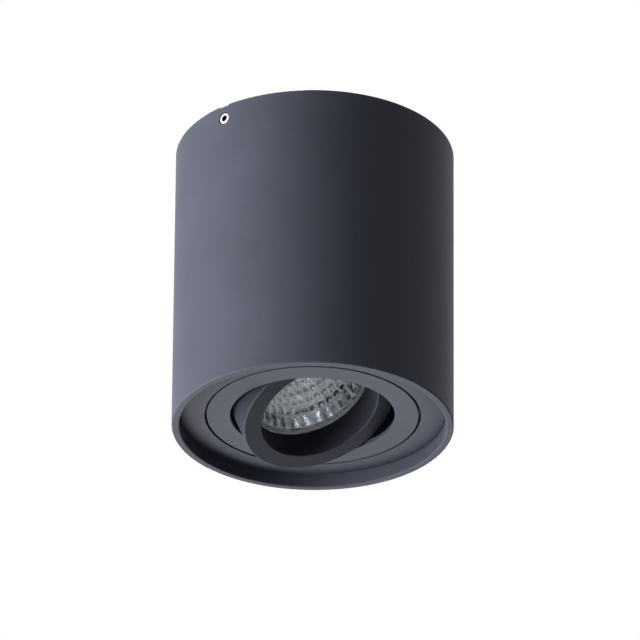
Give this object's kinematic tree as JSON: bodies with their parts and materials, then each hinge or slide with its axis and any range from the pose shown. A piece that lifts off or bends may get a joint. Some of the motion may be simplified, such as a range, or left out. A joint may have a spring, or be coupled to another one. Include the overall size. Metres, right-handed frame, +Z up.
{
  "type": "surface mounted ceiling spotlight",
  "caption": "Cylindrical surface mounted ceiling spotlight with a recessed swivel plate and a tilting ring that holds a faceted reflector lamp.",
  "frame": {"origin": "centre of the ceiling mounting plane, on the tube's axis, midway between the bracket's two slots", "axes": "+Z up into the ceiling along the tube's axis; the side screws and the bracket's slots lie on X; the lamp is aimed towards -Y"},
  "size_m": [0.11, 0.11, 0.1269],
  "materials": {
    "body_paint": "matte fine-textured anthracite paint",
    "trim_paint": "matte fine-textured anthracite paint",
    "plate_paint": "matte anthracite paint",
    "ring_paint": "matte anthracite paint",
    "nickel_screw": "polished nickel plate",
    "zinc_steel": "satin zinc plate",
    "zinc_screw": "satin zinc plate",
    "spring_steel": "satin spring steel",
    "black_nylon": "matte",
    "block_nylon": "satin",
    "brass_insert": "satin",
    "brass_screw": "satin",
    "tinned_brass": "satin tin plate",
    "earth_insulation": "matte",
    "lead_insulation": "matte silicone",
    "glass_fibre_sleeve": "matte braided glass fibre",
    "lamp_mirror": "polished facets",
    "lamp_glass": "polished",
    "filament_wire": "satin",
    "lamp_ceramic": "matte",
    "holder_ceramic": "matte"
  },
  "bodies": {
    "housing": {"body_tube": "body_paint", "cable_bush": "black_nylon", "ceiling_bracket": "zinc_steel", "earth_lead": "earth_insulation", "earth_screw": "brass_screw", "earth_tag": "tinned_brass", "earth_washer": "zinc_screw", "lead_tails": "lead_insulation", "leaf_rivets": "zinc_screw", "leaf_springs": "spring_steel", "retaining_ring": "zinc_steel", "retaining_screws": "zinc_screw", "side_screws": "nickel_screw", "terminal_block": "block_nylon", "terminal_fixing_screw": "zinc_screw", "terminal_inserts": "brass_insert", "terminal_screws": "zinc_screw", "trim_ring": "trim_paint"},
    "swivel": {"swivel_plate": "plate_paint", "pivot_brackets": "zinc_steel", "bracket_rivets": "zinc_screw", "lamp_lead_sleeve": "glass_fibre_sleeve", "lamp_leads": "lead_insulation"},
    "gimbal": {"gimbal_ring": "ring_paint", "pivot_screws": "zinc_screw", "friction_washers": "spring_steel", "lamp_clip": "spring_steel", "lamp_reflector": "lamp_mirror", "lamp_front_glass": "lamp_glass", "lamp_capsule": "lamp_glass", "lamp_filament": "filament_wire", "lamp_base": "lamp_ceramic", "lamp_pins": "nickel_screw", "lampholder": "holder_ceramic", "lampholder_contacts": "brass_insert", "lampholder_strap": "zinc_steel", "holder_screws": "zinc_screw", "strap_screws": "zinc_screw"}
  },
  "joints": [
    {"name": "swivel_turn", "type": "hinge", "parent": "housing", "child": "swivel", "pos_m": [0, 0, -0.115], "axis": [0, 0, 1], "range_deg": [-175, 175], "deforming": ["lamp_leads", "lamp_lead_sleeve"]},
    {"name": "lamp_tilt", "type": "hinge", "parent": "swivel", "child": "gimbal", "pos_m": [0, 0, -0.1069], "axis": [0.9974, 0.0715, 0], "range_deg": [-5, 55], "deforming": ["lamp_leads", "lamp_lead_sleeve"]}
  ]
}
